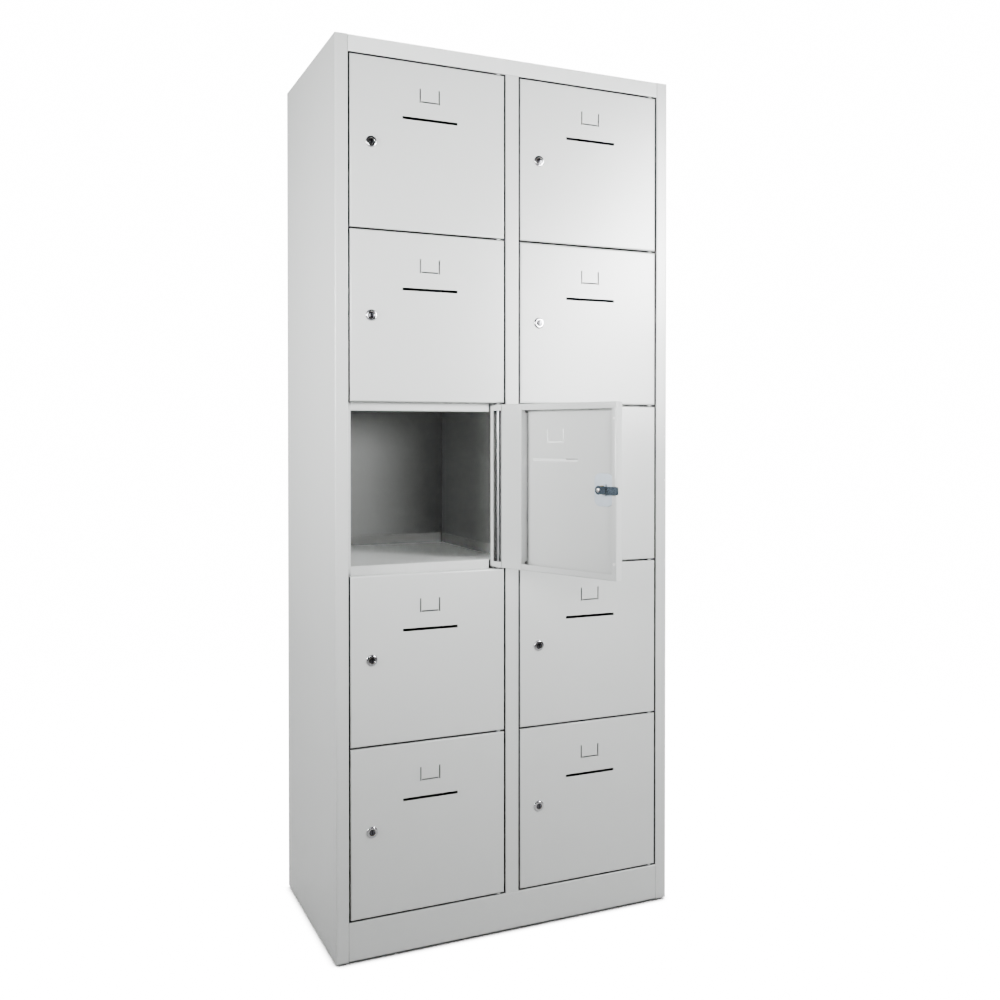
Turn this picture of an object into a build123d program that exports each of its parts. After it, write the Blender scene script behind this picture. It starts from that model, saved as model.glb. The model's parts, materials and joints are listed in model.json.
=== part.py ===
from build123d import *
import os

os.makedirs("parts", exist_ok=True)

# Parcel locker: a folded sheet-steel cabinet with two columns of five hinged doors.
# Frame: origin on the floor under the cabinet's middle, +Z up, the doors face -Y. Millimetres.

# Driving dimensions of the cabinet
cabinet_width = 790.0
cabinet_depth = 428.0
cabinet_height = 1900.0
foot_height = 5.0
sheet = 1.0
rows = 5
row_pitch = 355.5
first_gap_z = 86.75
post_width = 27.5
door_gap = 3.5
door_width = 345.0

# Door pan, measured from its lock edge, its front face and its bottom edge
door_depth = 20.0
door_height = row_pitch - door_gap
end_lip = 13.0
lock_side_lip = 11.0
hinge_side_lip = 10.0
hinge_inset = 12.0
hinge_depth = 8.0
channel_from_hinge = 34.0
channel_width = 59.0
channel_notch_depth = 7.0
channel_notch_rise = 18.0
slot_length = 123.0
slot_height = 6.0
slot_centre_x = 174.4
slot_rise = 57.5
label_centre_x = 173.5
label_width = 47.0
label_height = 30.5
label_rise = 92.3
label_tab = 3.0
label_reach = 4.0
label_notch = 5.0
label_stand_off = 2.0
label_sheet = 0.8
buffer_inset = 5.5
buffer_from_end = 33.0
buffer_radius = 3.0
buffer_stand = 1.2

# Frame details
stop_plane = 21.5
stop_reach = 10.5
shelf_lip = 17.0
shelf_flange = 24.0
shelf_hem = 14.5
shelf_corner = 4.0
hinge_relief = 29.5
relief_depth = 28.5
edge_fold = 14.0
rod_radius = 2.5
rod_clearance = 0.05
plate_thickness = 2.0
plate_radius = 5.5
plate_arm = (23.0, 34.0)
partition_flange = 10.0

# Levelling feet
foot_pad_radius = 17.5
foot_pad_edge = 1.5
foot_stud_radius = 5.0
foot_stud_top = 40.0
foot_stud_clearance = 0.3
foot_nut_height = 8.0
foot_nut_radius = 9.0
foot_inset = 45.0

# Gaps left between sheets that are only welded or riveted here and there
tight_gap = 0.1
panel_gap = 0.2
floor_gap = 0.3

# Cam lock, measured from the front face of its door
lock_inset = 45.5
lock_rise = 1.0
lock_head_radius = 12.0
lock_head_height = 3.0
barrel_radius = 9.0
barrel_end = 16.5
barrel_clearance = 0.1
head_edge = 0.8
plug_radius = 6.5
plug_clearance = 0.06
plug_recess = 0.5
keyway_width = 1.4
keyway_height = 9.0
keyway_bottom = 4.0
backing_half_width = 23.0
backing_half_height = 33.0
backing_corner = 14.0
backing_back = 2.5
nut_radius = 13.0
nut_height = 4.0
cam_start = 17.0
cam_sheet = 2.0
cam_offset = 6.5
cam_reach = 53.0
cam_width = 16.0
cam_crank = (17.0, 26.0)
cam_corner = 3.0
screw_radius = 4.5
screw_height = 3.2
screw_slot_width = 1.2
screw_slot_bottom = 2.0
screw_edge = 0.6

# Stored pose and fixing holes
open_row = 3
open_angle = 112.0
wall_hole_radius = 4.5
wall_hole_x = 150.0
wall_hole_z = (285.0, 1707.0)

left = -cabinet_width / 2
right = cabinet_width / 2
front = -cabinet_depth / 2
back = cabinet_depth / 2
centre_half = cabinet_width / 2 - post_width - 2 * door_gap - door_width
gap_levels = [first_gap_z + row_pitch * step for step in range(rows + 1)]
plinth_top = gap_levels[0] - door_gap / 2
rail_bottom = gap_levels[-1] + door_gap / 2
door_starts = {"left": left + post_width + door_gap, "right": centre_half + door_gap}
lock_z = door_height / 2 + lock_rise


def block(x, y, z):
    """A box from its ranges along X, Y and Z."""
    size = [high - low for low, high in (x, y, z)]
    middle = [(low + high) / 2 for low, high in (x, y, z)]
    return Pos(*middle) * Box(*size)


def rod_along_y(x, z, radius, y):
    """A cylinder along Y between two depths."""
    turned = Rot(90, 0, 0) * Cylinder(radius, y[1] - y[0])
    return Pos(x, (y[0] + y[1]) / 2, z) * turned


def save(shape, node):
    export_step(shape, f"parts/{node}.step")


def side_panel(outer, inward):
    """Outer wall with a folded front post, a door-side return and a back edge fold."""
    def span(near, far):
        ends = (outer + inward * near, outer + inward * far)
        return (min(ends), max(ends))

    height = (foot_height, cabinet_height)
    rear_fold = block(span(sheet, sheet + edge_fold), (back - sheet, back), height)
    wall = block(span(0, sheet), (front, back), height)
    post_face = block(span(sheet, post_width), (front, front + sheet), height)
    depth = (front + sheet, front + stop_plane)
    post_return = block(span(post_width - sheet, post_width), depth, (plinth_top, rail_bottom))
    return wall + post_face + post_return + rear_fold


def left_side_panel():
    stop_face = (front + stop_plane, front + stop_plane + sheet)
    reach = (left + post_width - sheet, left + post_width + stop_reach)
    return side_panel(left, 1) + block(reach, stop_face, (plinth_top, rail_bottom))


def right_side_panel():
    return side_panel(right, -1)


def lip_span(column):
    """Where a front lip runs: from the lock-side stop to the hinge relief."""
    start = door_starts[column]
    return (start - door_gap + stop_reach + floor_gap, start + door_width + door_gap / 2 - hinge_relief)


def top_panel():
    """Top sheet with the front rail, its return, the stop lips and a back fold."""
    rail = (left + post_width + tight_gap, right - post_width - tight_gap)
    deck = block((left + sheet, right - sheet), (front + sheet, back - sheet),
                 (cabinet_height - sheet, cabinet_height))
    face = block(rail, (front, front + sheet), (rail_bottom, cabinet_height))
    underside = block(rail, (front + sheet, front + stop_plane), (rail_bottom, rail_bottom + sheet))
    fold = block((left + 2 * sheet + edge_fold, right - 2 * sheet - edge_fold), (back - sheet, back),
                 (cabinet_height - edge_fold, cabinet_height))
    shape = deck + face + underside + fold
    for column in door_starts:
        shape += block(lip_span(column), (front + stop_plane, front + stop_plane + sheet),
                       (gap_levels[-1] - shelf_lip, rail_bottom + sheet))
    return shape


def base_tray():
    """Bottom sheet with the plinth face, its return, a back fold and the foot holes."""
    rail = (left + post_width + tight_gap, right - post_width - tight_gap)
    shape = block((left + sheet, right - sheet), (front + sheet, back - sheet),
                  (foot_height, foot_height + sheet))
    shape += block(rail, (front, front + sheet), (foot_height, plinth_top))
    shape += block(rail, (front + sheet, front + stop_plane - panel_gap), (plinth_top - sheet, plinth_top))
    shape += block((left + 2 * sheet + edge_fold, right - 2 * sheet - edge_fold), (back - sheet, back),
                   (foot_height, foot_height + edge_fold))
    for x, y in foot_places():
        shape -= Pos(x, y, foot_height) * Cylinder(foot_stud_radius + foot_stud_clearance, 4 * sheet)
    return shape


def foot_places():
    return [(x, y) for x in (left + foot_inset, right - foot_inset)
            for y in (front + foot_inset, back - foot_inset)]


def levelling_feet():
    """Four screw feet, each with a pad, a stud and a nut above the base sheet."""
    pad = Pos(0, 0, foot_height / 2) * Cylinder(foot_pad_radius, foot_height)
    pad = chamfer(pad.edges().sort_by(Axis.Z)[-1], foot_pad_edge)
    stud = Pos(0, 0, foot_stud_top / 2) * Cylinder(foot_stud_radius, foot_stud_top)
    nut_base = foot_height + sheet
    nut = Pos(0, 0, nut_base) * extrude(RegularPolygon(foot_nut_radius, 6), foot_nut_height)
    foot = pad + stud + nut
    return Compound(children=[Pos(x, y, 0) * foot for x, y in foot_places()])


def back_panel():
    """Flat rear sheet with four wall-fixing holes."""
    shape = block((left + sheet + panel_gap, right - sheet - panel_gap), (back - 2 * sheet, back - sheet),
                  (foot_height + sheet + panel_gap, cabinet_height - sheet - panel_gap))
    for x in (-wall_hole_x, wall_hole_x):
        for z in wall_hole_z:
            shape -= rod_along_y(x, z, wall_hole_radius, (back - 4 * sheet, back))
    return shape


def centre_post():
    """Face strip between the columns, with a return each side and a stop for the right doors."""
    height = (plinth_top, rail_bottom)
    shape = block((-centre_half, centre_half), (front, front + sheet), height)
    for edge in (-centre_half, centre_half - sheet):
        shape += block((edge, edge + sheet), (front + sheet, front + stop_plane), height)
    shape += block((centre_half - sheet, centre_half + stop_reach),
                   (front + stop_plane, front + stop_plane + sheet), height)
    return shape


def centre_partition():
    """Upright sheet between the two columns, flanged to the back of the post."""
    height = (foot_height + sheet + panel_gap, cabinet_height - sheet - panel_gap)
    post_height = (plinth_top + floor_gap, rail_bottom - floor_gap)
    behind_rail = front + stop_plane + 2 * sheet
    sheet_x = (-sheet / 2, sheet / 2)
    shape = block(sheet_x, (behind_rail, back - 2 * sheet - panel_gap), height)
    shape += block(sheet_x, (front + sheet, behind_rail), post_height)
    flange = (-sheet / 2, partition_flange)
    return shape + block(flange, (front + sheet, front + 2 * sheet), post_height)


def shelf(column, level):
    """Compartment floor: front lip with a hem, upturned side and back flanges, hinge relief."""
    gap_z = gap_levels[level]
    top = gap_z + shelf_lip
    near, far = front + stop_plane, back - 2 * sheet - 0.5
    if column == "left":
        x = (left + sheet + floor_gap, -sheet / 2 - floor_gap)
    else:
        x = (sheet / 2 + floor_gap, right - sheet - floor_gap)
    lip = lip_span(column)
    floor_z = (top - sheet, top)
    shape = block(x, (near + 1.5 * sheet, far), floor_z)
    shape += block(lip, (near, near + 2 * sheet), floor_z)
    shape += block(lip, (near, near + sheet), (gap_z - shelf_lip, top))
    shape += block(lip, (near, near + shelf_hem), (gap_z - shelf_lip, gap_z - shelf_lip + sheet))
    upturn = (top - sheet, top - sheet + shelf_flange)
    shape += block((x[0], x[0] + sheet), (near + shelf_corner, far), upturn)
    shape += block((x[1] - sheet, x[1]), (front + relief_depth, far), upturn)
    shape += block(x, (far - sheet, far), upturn)
    shape -= block((lip[1], x[1] + 1), (near - 1, front + relief_depth), (gap_z, top + 1))
    return shape


def shelves():
    return Compound(children=[shelf(column, level) for level in range(rows) for column in door_starts])


def pivot_x(column):
    return door_starts[column] + door_width - hinge_inset


def hinge_plate(column, level):
    """Welded plate with a round-ended tongue that carries the hinge rod in a door gap."""
    x = pivot_x(column)
    y = front + hinge_depth
    z = gap_levels[level]
    wall = -sheet / 2 if column == "left" else right - sheet
    thickness = (z - plate_thickness / 2, z + plate_thickness / 2)
    shape = block((x - plate_radius, x + plate_radius), (y, front + plate_arm[1]), thickness)
    shape += Pos(x, y, z) * Cylinder(plate_radius, plate_thickness)
    arm = (front + plate_arm[0], front + plate_arm[1])
    shape += block((x - plate_radius, wall), arm, thickness)
    return shape - Pos(x, y, z) * Cylinder(rod_radius + rod_clearance, 2 * plate_thickness)


def hinge_rod(column):
    """One rod through all the doors and hinge plates of a column."""
    low = gap_levels[0] - plate_thickness / 2
    high = gap_levels[-1] + plate_thickness / 2
    return Pos(pivot_x(column), front + hinge_depth, (low + high) / 2) * Cylinder(rod_radius, high - low)


def hinge_fittings():
    plates = [hinge_plate(column, level) for level in range(rows + 1) for column in door_starts]
    return Compound(children=plates + [hinge_rod(column) for column in door_starts])


def label_tabs():
    """Three pressed-out strips that hold a name card, open at the top."""
    low, high = lock_z + label_rise, lock_z + label_rise + label_height
    half = label_width / 2
    raised = (-label_stand_off, -label_stand_off + label_sheet)
    root = (-label_stand_off, 0.0)
    shapes = []
    for side in (-1, 1):
        outer = label_centre_x + side * half
        over = sorted((outer, outer - side * label_reach))
        foot = sorted((outer, outer - side * label_sheet))
        shapes += [block(over, raised, (low, high)), block(foot, root, (low, high))]
    inner = (label_centre_x - half + label_notch, label_centre_x + half - label_notch)
    shapes.append(block(inner, raised, (low, low + label_reach)))
    shapes.append(block(inner, root, (low, low + label_sheet)))
    return shapes


def label_openings():
    """The openings that the three strips were pressed out of."""
    low, high = lock_z + label_rise, lock_z + label_rise + label_height
    half = label_width / 2
    through = (-0.5, 2 * sheet)
    shapes = []
    for side in (-1, 1):
        outer = label_centre_x + side * (half - label_sheet)
        shapes.append(block(sorted((outer, outer - side * label_tab)), through, (low, high - 1)))
    inner = (label_centre_x - half + label_notch, label_centre_x + half - label_notch)
    shapes.append(block(inner, through, (low + label_sheet, low + label_sheet + label_tab)))
    return shapes


def door_leaf():
    """Folded pan: front face, four walls and four rear lips, with its slot, card holder and holes."""
    width, height, depth = door_width, door_height, door_depth
    shape = block((0, width), (0, depth), (0, height))
    shape -= block((sheet, width - sheet), (sheet, depth - sheet), (sheet, height - sheet))
    shape -= block((lock_side_lip, width - hinge_side_lip), (depth - 2 * sheet, depth + 1),
                   (end_lip, height - end_lip))
    channel = channel_span()
    seat_x = (channel[0] - panel_gap, channel[1] + panel_gap)
    shape -= block(seat_x, (depth - sheet - tight_gap, depth + 1), (sheet, height - sheet))
    slot_x = (slot_centre_x - slot_length / 2, slot_centre_x + slot_length / 2)
    slot_z = lock_z + slot_rise
    shape -= block(slot_x, (-1, 2 * sheet), (slot_z - slot_height / 2, slot_z + slot_height / 2))
    shape -= rod_along_y(lock_inset, lock_z, barrel_radius + 2 * barrel_clearance, (-1, 2 * sheet))
    for opening in label_openings():
        shape -= opening
    for tab in label_tabs():
        shape += tab
    for z in buffer_heights():
        stem_hole = (depth - 2 * sheet, depth + 1)
        shape -= rod_along_y(buffer_inset, z, buffer_radius / 2 + tight_gap, stem_hole)
    rod = Pos(width - hinge_inset, hinge_depth, height / 2)
    return shape - rod * Cylinder(rod_radius + rod_clearance, height + 2)


def channel_span():
    far = door_width - channel_from_hinge
    return (far - channel_width, far)


def door_channel():
    """Upright stiffening channel behind the door face, with open corners at its feet."""
    x = channel_span()
    shape = block(x, (sheet, door_depth), (sheet + tight_gap, door_height - sheet - tight_gap))
    shape -= block((x[0] + sheet, x[1] - sheet), (0, door_depth - sheet), (0, door_height))
    notch_y = (0, sheet + channel_notch_depth)
    rise = sheet + channel_notch_rise
    for z in ((0, rise), (door_height - rise, door_height)):
        shape -= block((x[0] - 1, x[1] + 1), notch_y, z)
    return shape


def buffer_heights():
    return (buffer_from_end, door_height - buffer_from_end)


def door_buffers():
    """Two rubber studs that stop the door quietly."""
    shapes = []
    for z in buffer_heights():
        head = rod_along_y(buffer_inset, z, buffer_radius, (door_depth, door_depth + buffer_stand))
        stem = rod_along_y(buffer_inset, z, buffer_radius / 2, (door_depth - 2 * sheet, door_depth))
        shapes.append(head + stem)
    return Compound(children=shapes)


def lock_body():
    """Cam lock housing with its flanged head, a fixing nut and an inner backing plate."""
    x, z = lock_inset, lock_z
    head = rod_along_y(x, z, lock_head_radius, (-lock_head_height, 0))
    head = chamfer(head.edges().sort_by(Axis.Y)[0], head_edge)
    bore = rod_along_y(x, z, plug_radius + plug_clearance, (-10, 40))
    housing = head + rod_along_y(x, z, barrel_radius, (0, barrel_end)) - bore
    plate = block((x - backing_half_width, x + backing_half_width), (sheet, backing_back),
                  (z - backing_half_height, z + backing_half_height))
    plate = fillet(plate.edges().filter_by(Axis.Y), backing_corner)
    nut = Rot(-90, 0, 0) * extrude(RegularPolygon(nut_radius, 6), nut_height)
    nut = Pos(x, backing_back, z) * nut
    barrel_hole = rod_along_y(x, z, barrel_radius + barrel_clearance, (0, barrel_end))
    return Compound(children=[housing, nut - barrel_hole, plate - barrel_hole])


def lock_cam():
    """Key plug with the cranked cam hanging straight down, held by its end screw."""
    x, z = lock_inset, lock_z
    plug = rod_along_y(x, z, plug_radius, (-lock_head_height + plug_recess, cam_start))
    plug -= block((x - keyway_width / 2, x + keyway_width / 2), (-10, keyway_bottom),
                  (z - keyway_height / 2, z + keyway_height / 2))
    near, far = cam_start, cam_start + cam_sheet
    bend_start, bend_end = cam_crank
    profile = Polyline(
        (near, 0), (far, 0), (far, -bend_start), (far + cam_offset, -bend_end),
        (far + cam_offset, -cam_reach), (near + cam_offset, -cam_reach),
        (near + cam_offset, -bend_end - 0.8), (near, -bend_start - 0.8), close=True)
    bar = extrude(Plane.YZ * make_face(profile), cam_width / 2, both=True)
    tips = bar.edges().filter_by(Axis.Y).group_by(Axis.Z)[0]
    bar = Pos(x, 0, z) * fillet(tips, cam_corner)
    hub = rod_along_y(x, z, cam_width / 2 + 1, (near, far))
    screw = rod_along_y(x, z, screw_radius, (far, far + screw_height))
    screw = chamfer(screw.edges().sort_by(Axis.Y)[-1], screw_edge)
    slot = block((x - screw_slot_width / 2, x + screw_slot_width / 2),
                 (far + screw_slot_bottom, far + 2 * screw_height),
                 (z - 2 * screw_radius, z + 2 * screw_radius))
    return Compound(children=[plug, bar + hub, screw - slot])


def place(shape, column, row):
    """Carries a piece made at a door's corner to its door; the stored-open door is swung out."""
    start = Pos(door_starts[column], front, gap_levels[rows - row] + door_gap / 2)
    moved = start * shape
    if (column, row) != ("left", open_row):
        return moved
    axis = Axis((pivot_x(column), front + hinge_depth, 0), (0, 0, 1))
    return moved.rotate(axis, open_angle)


def place_cam(shape, column, row):
    """As place; the open door's lock is turned so that its cam points to the lock edge."""
    if (column, row) == ("left", open_row):
        spindle = Axis((lock_inset, 0, lock_z), (0, 1, 0))
        shape = shape.rotate(spindle, 90)
    return place(shape, column, row)


frame_parts = {
    "left_side_panel": left_side_panel, "right_side_panel": right_side_panel,
    "top_panel": top_panel, "base_tray": base_tray, "back_panel": back_panel,
    "centre_post": centre_post, "centre_partition": centre_partition,
    "shelves": shelves, "levelling_feet": levelling_feet, "hinge_fittings": hinge_fittings,
}
door_parts = {
    "door": door_leaf, "channel": door_channel, "buffers": door_buffers, "lock": lock_body,
}

for node, make in frame_parts.items():
    save(make(), node)

made = {name: make() for name, make in door_parts.items()}
cam = lock_cam()
for column in door_starts:
    for row in range(1, rows + 1):
        for name, shape in made.items():
            save(place(shape, column, row), f"{column}_{row}_{name}")
        save(place_cam(cam, column, row), f"{column}_{row}_cam")
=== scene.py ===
import json
import math
import bmesh
import bpy
from mathutils import Matrix, Vector

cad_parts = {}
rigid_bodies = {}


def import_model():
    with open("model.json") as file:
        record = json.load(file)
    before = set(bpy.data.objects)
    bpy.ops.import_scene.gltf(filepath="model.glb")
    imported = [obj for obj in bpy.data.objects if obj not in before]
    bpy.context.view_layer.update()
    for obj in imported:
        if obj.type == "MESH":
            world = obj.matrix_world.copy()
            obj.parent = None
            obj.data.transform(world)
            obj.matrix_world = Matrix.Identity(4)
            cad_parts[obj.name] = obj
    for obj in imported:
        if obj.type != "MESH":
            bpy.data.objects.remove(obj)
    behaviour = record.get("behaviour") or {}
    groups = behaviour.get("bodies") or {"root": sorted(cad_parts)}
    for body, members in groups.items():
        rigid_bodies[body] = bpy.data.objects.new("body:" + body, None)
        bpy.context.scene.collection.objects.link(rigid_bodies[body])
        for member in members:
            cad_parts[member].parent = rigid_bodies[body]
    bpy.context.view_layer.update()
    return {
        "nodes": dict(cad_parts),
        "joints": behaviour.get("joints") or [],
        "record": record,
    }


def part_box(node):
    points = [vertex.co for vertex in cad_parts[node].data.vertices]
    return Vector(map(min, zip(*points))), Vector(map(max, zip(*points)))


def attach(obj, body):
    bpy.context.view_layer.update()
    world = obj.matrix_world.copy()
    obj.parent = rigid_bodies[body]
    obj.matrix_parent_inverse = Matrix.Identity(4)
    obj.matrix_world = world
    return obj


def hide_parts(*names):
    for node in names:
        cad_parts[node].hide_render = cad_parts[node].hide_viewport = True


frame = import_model()
print("frame loaded:", len(frame["nodes"]), "nodes")

# Camera and studio light

frontView = {"place": (-0.9678, -2.3121, 1.0844), "turn": 24.10, "tilt": -0.655, "lens": 38.18,
             "sensor": 36.0, "shiftUp": -0.0522, "farthest": 60.0}


def makeCamera(view):
    cameraData = bpy.data.cameras.new("studioCamera")
    cameraData.lens = view["lens"]
    cameraData.sensor_width = view["sensor"]
    cameraData.shift_y = view["shiftUp"]
    cameraData.clip_end = view["farthest"]
    camera = bpy.data.objects.new("studioCamera", cameraData)
    camera.location = view["place"]
    camera.rotation_euler = (math.radians(90 + view["tilt"]), 0, math.radians(-view["turn"]))
    bpy.context.scene.collection.objects.link(camera)
    bpy.context.scene.camera = camera


softboxes = {
    "key": {"place": (1.85, -2.4, 2.13), "aim": (0.2, -0.2, 1.45),
            "size": (0.40, 0.75), "watts": 62.0, "spread": 180},
    "keyLow": {"place": (1.75, -2.4, 1.9), "aim": (0.3, -0.2, 1.4),
               "size": (0.40, 0.5), "watts": 39.0, "spread": 180},
    "rightMid": {"place": (1.2, -2.0, 1.5), "aim": (0.0, -0.2, 1.4),
                 "size": (0.7, 0.7), "watts": 7.0, "spread": 70},
    "frontMid": {"place": (-0.5, -2.2, 1.55), "aim": (-0.15, -0.2, 1.42),
                 "size": (0.8, 0.5), "watts": 4.0, "spread": 60},
    "leftNear": {"place": (-1.9, -0.6, 1.45), "aim": (-0.4, -0.1, 1.4),
                 "size": (0.5, 0.5), "watts": 17.0, "spread": 100},
    "leftWide": {"place": (-3.0, -0.5, 1.4), "aim": (-0.4, 0.0, 1.3),
                 "size": (1.4, 1.4), "watts": 6.0, "spread": 110},
    "backLeft": {"place": (-2.4, 1.6, 1.3), "aim": (-0.4, 0.1, 1.2),
                 "size": (1.0, 1.0), "watts": 14.0, "spread": 90},
}
insideLamp = {"place": (0.5, -2.2, 1.35), "aim": (-0.2, 0.2, 1.0),
              "size": (1.3, 0.5), "watts": 14.0, "spread": 100}
topLamp = {"place": (0.0, -0.1, 4.6), "aim": (0.0, 0.0, 1.9),
           "size": (1.6, 1.2), "watts": 95.0, "spread": 120}
fillLights = {
    "rightFill": {"place": (3.0, 0.9, 1.6), "aim": (0.4, 0.1, 1.0),
                  "size": (1.4, 1.8), "watts": 40.0, "spread": 120},
    "backFill": {"place": (0.6, 3.2, 1.9), "aim": (0.0, 0.2, 1.0),
                 "size": (1.8, 1.8), "watts": 55.0, "spread": 120},
}


def makeSoftbox(name, box):
    lamp = bpy.data.lights.new(name, "AREA")
    lamp.shape = "RECTANGLE"
    lamp.size, lamp.size_y = box["size"]
    lamp.energy = box["watts"]
    lamp.spread = math.radians(box["spread"])
    holder = bpy.data.objects.new(name, lamp)
    holder.location = box["place"]
    toward = Vector(box["aim"]) - Vector(box["place"])
    holder.rotation_euler = toward.to_track_quat("-Z", "Y").to_euler()
    bpy.context.scene.collection.objects.link(holder)
    return holder


makeCamera(frontView)
frontLamps = {name: makeSoftbox(name, box) for name, box in softboxes.items()}
for name, box in fillLights.items():
    makeSoftbox(name, box)
print("camera and lights made")

# Shader maths on wrapped sockets


class Wire:
    def __init__(self, shade, socket):
        self.shade = shade
        self.socket = socket

    def math(self, operation, other, flipped=False):
        first, second = (other, self) if flipped else (self, other)
        return self.shade.node("ShaderNodeMath", {"operation": operation}, {0: first, 1: second})

    def __add__(self, other):
        return self.math("ADD", other)

    __radd__ = __add__

    def __mul__(self, other):
        return self.math("MULTIPLY", other)

    __rmul__ = __mul__

    def __sub__(self, other):
        return self.math("SUBTRACT", other)

    def __rsub__(self, other):
        return self.math("SUBTRACT", other, flipped=True)


class Shade:
    def __init__(self, name):
        self.material = bpy.data.materials.new(name)
        self.material.use_nodes = True
        self.tree = self.material.node_tree
        self.surface = self.tree.nodes["Principled BSDF"]

    def node(self, kind, settings=None, inputs=None, output=0):
        made = self.tree.nodes.new(kind)
        for key, value in (settings or {}).items():
            setattr(made, key, value)
        for key, value in (inputs or {}).items():
            self.feed(made.inputs[key], value)
        return Wire(self, made.outputs[output])

    def feed(self, socket, value):
        if isinstance(value, Wire):
            self.tree.links.new(value.socket, socket)
        else:
            socket.default_value = value

    def finish(self, **values):
        for key, value in values.items():
            self.feed(self.surface.inputs[surfaceSockets[key]], value)
        return self.material

    def coordinates(self):
        return self.node("ShaderNodeTexCoord", output="Object")

    def noise(self, scale, detail=2.0, roughness=0.5):
        inputs = {"Vector": self.coordinates(), "Scale": scale, "Detail": detail, "Roughness": roughness}
        return self.node("ShaderNodeTexNoise", {}, inputs, output="Fac")

    def openness(self, samples, reach, shut, opened):
        # 0 in a gap much narrower than reach, 1 in the open.
        inputs = {"Distance": reach}
        occlusion = self.node("ShaderNodeAmbientOcclusion", {"samples": samples}, inputs, output="AO")
        return self.smooth(occlusion, shut, opened)

    def smooth(self, value, start, end):
        inputs = {"Value": value, "From Min": start, "From Max": end}
        return self.node("ShaderNodeMapRange", {"interpolation_type": "SMOOTHSTEP"}, inputs)

    def blend(self, factor, low, high):
        # Sockets 6 and 7 are the colours at factors 0 and 1, output 2 is the mix.
        inputs = {"Factor": factor, 6: low, 7: high}
        return self.node("ShaderNodeMix", {"data_type": "RGBA"}, inputs, output=2)

    def tint(self, factor, low, high):
        return self.blend(factor, (*low, 1), (*high, 1))

    def bump(self, height, strength, distance):
        return self.node("ShaderNodeBump", {}, {"Height": height, "Strength": strength, "Distance": distance})


surfaceSockets = {"colour": "Base Color", "roughness": "Roughness", "metallic": "Metallic",
                  "normal": "Normal", "specular": "Specular IOR Level", "glow": "Emission Color"}

powder = {"light": (0.728, 0.745, 0.735), "deep": (0.713, 0.731, 0.722), "gloss": 0.22, "matt": 0.29,
          "cloud": 2.3, "smudge": 14.0, "peel": 620.0, "grain": 2100.0, "relief": 0.0004, "shine": 0.9,
          "gapPaintedShade": (0.015, 0.015, 0.015), "gapPaintedShadeReach": 0.020, "gapPaintedShadeShut": 0.14, "gapPaintedShadeOpen": 0.85}
shadedPowder = {"wallShare": 0.30, "floorShare": 0.33, "floorKeeps": 0.92, "from": -0.25, "to": 0.02,
                "roughness": 0.34, "roughnessSpan": 0.08, "shine": 0.4}


def powderCoat():
    shade = Shade("lightGreyPowderCoat")
    cloud = shade.noise(powder["cloud"], 3.0)
    smudge = shade.noise(powder["smudge"], 4.0, 0.6)
    peel = shade.noise(powder["peel"])
    grain = shade.noise(powder["grain"], 1.0)
    flat = shade.tint(cloud * 0.7 + smudge * 0.3, powder["deep"], powder["light"])
    # Painted shade: the colour darkens to near black where ambient occlusion finds a narrow gap, standing in
    # for the shade between doors, frame and lips.
    openness = shade.openness(6, powder["gapPaintedShadeReach"], powder["gapPaintedShadeShut"], powder["gapPaintedShadeOpen"])
    colour = shade.blend(openness, (*powder["gapPaintedShade"], 1), flat)
    clean = powder["gloss"] + (powder["matt"] - powder["gloss"]) * (smudge * 0.3 + peel * 0.7)
    roughness = 1.0 - openness * (1.0 - clean)
    normal = shade.bump(peel * 0.75 + grain * 0.25, 0.10, powder["relief"])
    return shade.finish(colour=colour, roughness=roughness, normal=normal, specular=powder["shine"])


def paintedShadeCoat(name, share):
    # Painted shade: the same paint darkened as shade falls in a deep box. Upright faces darken towards the
    # back, floors keep most of their colour.
    shade = Shade(name)
    peel = shade.noise(powder["peel"])
    place = shade.node("ShaderNodeSeparateXYZ", {}, {"Vector": shade.coordinates()}, output="Y")
    facing = shade.node("ShaderNodeNewGeometry", output="Normal")
    level = shade.node("ShaderNodeSeparateXYZ", {}, {"Vector": facing}, output="Z")
    upright = 1.0 - shadedPowder["floorKeeps"] * level * level
    depth = shade.smooth(place, shadedPowder["from"], shadedPowder["to"])
    back = [share * part for part in powder["light"]]
    roughness = shadedPowder["roughness"] + peel * shadedPowder["roughnessSpan"]
    return shade.finish(colour=shade.tint(depth * upright, powder["light"], back), roughness=roughness,
                        normal=shade.bump(peel, 0.08, powder["relief"]), specular=shadedPowder["shine"])


fineRelief = 0.0002


def metal(name, colour, worn, low, high, scale, strength):
    shade = Shade(name)
    cloud = shade.noise(scale * 0.15, 3.0)
    fine = shade.noise(scale, 3.0, 0.6)
    roughness = low + (high - low) * (fine * 0.6 + cloud * 0.4)
    return shade.finish(colour=shade.tint(cloud, worn, colour), metallic=1.0, roughness=roughness,
                        normal=shade.bump(fine, strength, fineRelief))


def softPlastic(name, colour, deep):
    shade = Shade(name)
    fine = shade.noise(1500.0)
    return shade.finish(colour=shade.tint(fine, deep, colour), roughness=0.45 + fine * 0.2,
                        normal=shade.bump(fine, 0.15, fineRelief))


def keywayShadow():
    # Painted shadow: near-black colour for the keyway's walls, which stand in deep shade.
    shade = Shade("keywayPaintedShadow")
    fine = shade.noise(900.0)
    return shade.finish(colour=shade.tint(fine, (0.004, 0.004, 0.004), (0.012, 0.012, 0.012)),
                        roughness=0.7 + fine * 0.1)


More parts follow.
